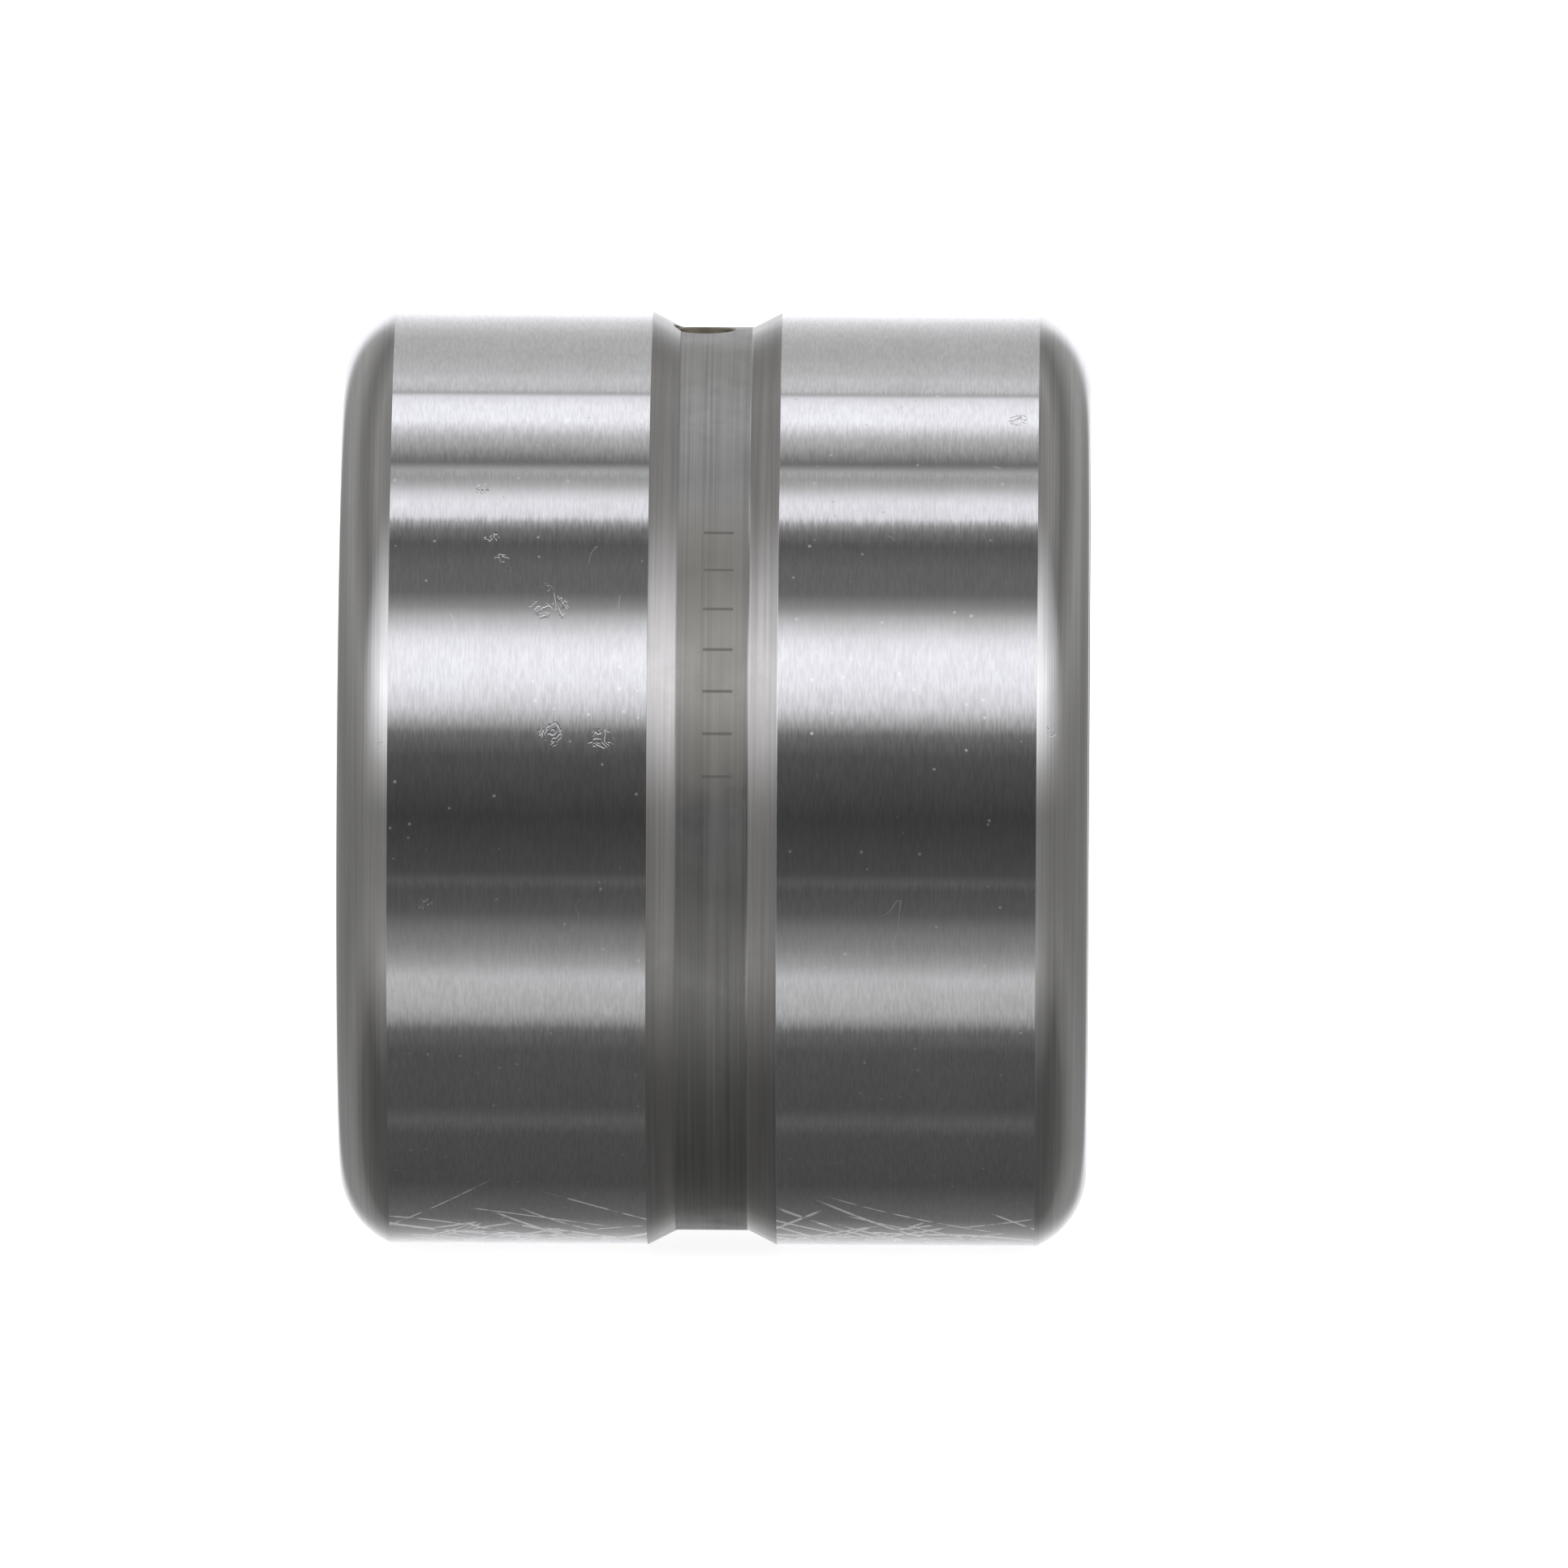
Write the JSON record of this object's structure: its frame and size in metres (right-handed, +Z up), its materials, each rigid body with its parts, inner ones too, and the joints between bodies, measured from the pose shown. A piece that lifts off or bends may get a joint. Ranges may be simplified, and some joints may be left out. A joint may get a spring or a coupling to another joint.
{
  "type": "caged needle roller bearing",
  "caption": "Heavy-duty needle roller bearing with a one-piece ribbed outer ring, round corners, an oil groove and oil hole, and a cage of rollers; no inner ring.",
  "frame": {"origin": "centre of the bearing, on its axis, half way between the ring's two faces", "axes": "+X along the bearing's axis, +Z up through the oil hole when the bearing lies on its outside diameter"},
  "size_m": [0.0254, 0.0318, 0.0318],
  "materials": {
    "ring_steel": "ground outside diameter, turned groove and corners",
    "cage_steel": "plain pierced steel, oiled",
    "roller_steel": "hardened, ground and polished"
  },
  "bodies": {
    "outer_ring": {"outer_ring": "ring_steel"},
    "cage": {"cage": "cage_steel"},
    "roller_01": {"roller_01": "roller_steel"},
    "roller_02": {"roller_02": "roller_steel"},
    "roller_03": {"roller_03": "roller_steel"},
    "roller_04": {"roller_04": "roller_steel"},
    "roller_05": {"roller_05": "roller_steel"},
    "roller_06": {"roller_06": "roller_steel"},
    "roller_07": {"roller_07": "roller_steel"},
    "roller_08": {"roller_08": "roller_steel"},
    "roller_09": {"roller_09": "roller_steel"},
    "roller_10": {"roller_10": "roller_steel"},
    "roller_11": {"roller_11": "roller_steel"},
    "roller_12": {"roller_12": "roller_steel"},
    "roller_13": {"roller_13": "roller_steel"},
    "roller_14": {"roller_14": "roller_steel"},
    "roller_15": {"roller_15": "roller_steel"},
    "roller_16": {"roller_16": "roller_steel"},
    "roller_17": {"roller_17": "roller_steel"},
    "roller_18": {"roller_18": "roller_steel"}
  },
  "joints": [
    {"name": "cage_orbit", "type": "hinge", "parent": "outer_ring", "child": "cage", "pos_m": [0, 0, 0], "axis": [1, 0, 0], "continuous": true},
    {"name": "roller_01_spin", "type": "hinge", "parent": "cage", "child": "roller_01", "pos_m": [0, 0, 0.01111], "axis": [1, 0, 0], "continuous": true},
    {"name": "roller_02_spin", "type": "hinge", "parent": "cage", "child": "roller_02", "pos_m": [0, -0.0038, 0.01044], "axis": [1, 0, 0], "continuous": true},
    {"name": "roller_03_spin", "type": "hinge", "parent": "cage", "child": "roller_03", "pos_m": [0, -0.00714, 0.00851], "axis": [1, 0, 0], "continuous": true},
    {"name": "roller_04_spin", "type": "hinge", "parent": "cage", "child": "roller_04", "pos_m": [0, -0.00962, 0.00556], "axis": [1, 0, 0], "continuous": true},
    {"name": "roller_05_spin", "type": "hinge", "parent": "cage", "child": "roller_05", "pos_m": [0, -0.01094, 0.00193], "axis": [1, 0, 0], "continuous": true},
    {"name": "roller_06_spin", "type": "hinge", "parent": "cage", "child": "roller_06", "pos_m": [0, -0.01094, -0.00193], "axis": [1, 0, 0], "continuous": true},
    {"name": "roller_07_spin", "type": "hinge", "parent": "cage", "child": "roller_07", "pos_m": [0, -0.00962, -0.00556], "axis": [1, 0, 0], "continuous": true},
    {"name": "roller_08_spin", "type": "hinge", "parent": "cage", "child": "roller_08", "pos_m": [0, -0.00714, -0.00851], "axis": [1, 0, 0], "continuous": true},
    {"name": "roller_09_spin", "type": "hinge", "parent": "cage", "child": "roller_09", "pos_m": [0, -0.0038, -0.01044], "axis": [1, 0, 0], "continuous": true},
    {"name": "roller_10_spin", "type": "hinge", "parent": "cage", "child": "roller_10", "pos_m": [0, 0, -0.01111], "axis": [1, 0, 0], "continuous": true},
    {"name": "roller_11_spin", "type": "hinge", "parent": "cage", "child": "roller_11", "pos_m": [0, 0.0038, -0.01044], "axis": [1, 0, 0], "continuous": true},
    {"name": "roller_12_spin", "type": "hinge", "parent": "cage", "child": "roller_12", "pos_m": [0, 0.00714, -0.00851], "axis": [1, 0, 0], "continuous": true},
    {"name": "roller_13_spin", "type": "hinge", "parent": "cage", "child": "roller_13", "pos_m": [0, 0.00962, -0.00556], "axis": [1, 0, 0], "continuous": true},
    {"name": "roller_14_spin", "type": "hinge", "parent": "cage", "child": "roller_14", "pos_m": [0, 0.01094, -0.00193], "axis": [1, 0, 0], "continuous": true},
    {"name": "roller_15_spin", "type": "hinge", "parent": "cage", "child": "roller_15", "pos_m": [0, 0.01094, 0.00193], "axis": [1, 0, 0], "continuous": true},
    {"name": "roller_16_spin", "type": "hinge", "parent": "cage", "child": "roller_16", "pos_m": [0, 0.00962, 0.00556], "axis": [1, 0, 0], "continuous": true},
    {"name": "roller_17_spin", "type": "hinge", "parent": "cage", "child": "roller_17", "pos_m": [0, 0.00714, 0.00851], "axis": [1, 0, 0], "continuous": true},
    {"name": "roller_18_spin", "type": "hinge", "parent": "cage", "child": "roller_18", "pos_m": [0, 0.0038, 0.01044], "axis": [1, 0, 0], "continuous": true}
  ],
  "couplings": [
    {"joint": "roller_01_spin", "follows": "cage_orbit", "ratio": -8},
    {"joint": "roller_02_spin", "follows": "cage_orbit", "ratio": -8},
    {"joint": "roller_03_spin", "follows": "cage_orbit", "ratio": -8},
    {"joint": "roller_04_spin", "follows": "cage_orbit", "ratio": -8},
    {"joint": "roller_05_spin", "follows": "cage_orbit", "ratio": -8},
    {"joint": "roller_06_spin", "follows": "cage_orbit", "ratio": -8},
    {"joint": "roller_07_spin", "follows": "cage_orbit", "ratio": -8},
    {"joint": "roller_08_spin", "follows": "cage_orbit", "ratio": -8},
    {"joint": "roller_09_spin", "follows": "cage_orbit", "ratio": -8},
    {"joint": "roller_10_spin", "follows": "cage_orbit", "ratio": -8},
    {"joint": "roller_11_spin", "follows": "cage_orbit", "ratio": -8},
    {"joint": "roller_12_spin", "follows": "cage_orbit", "ratio": -8},
    {"joint": "roller_13_spin", "follows": "cage_orbit", "ratio": -8},
    {"joint": "roller_14_spin", "follows": "cage_orbit", "ratio": -8},
    {"joint": "roller_15_spin", "follows": "cage_orbit", "ratio": -8},
    {"joint": "roller_16_spin", "follows": "cage_orbit", "ratio": -8},
    {"joint": "roller_17_spin", "follows": "cage_orbit", "ratio": -8},
    {"joint": "roller_18_spin", "follows": "cage_orbit", "ratio": -8}
  ]
}
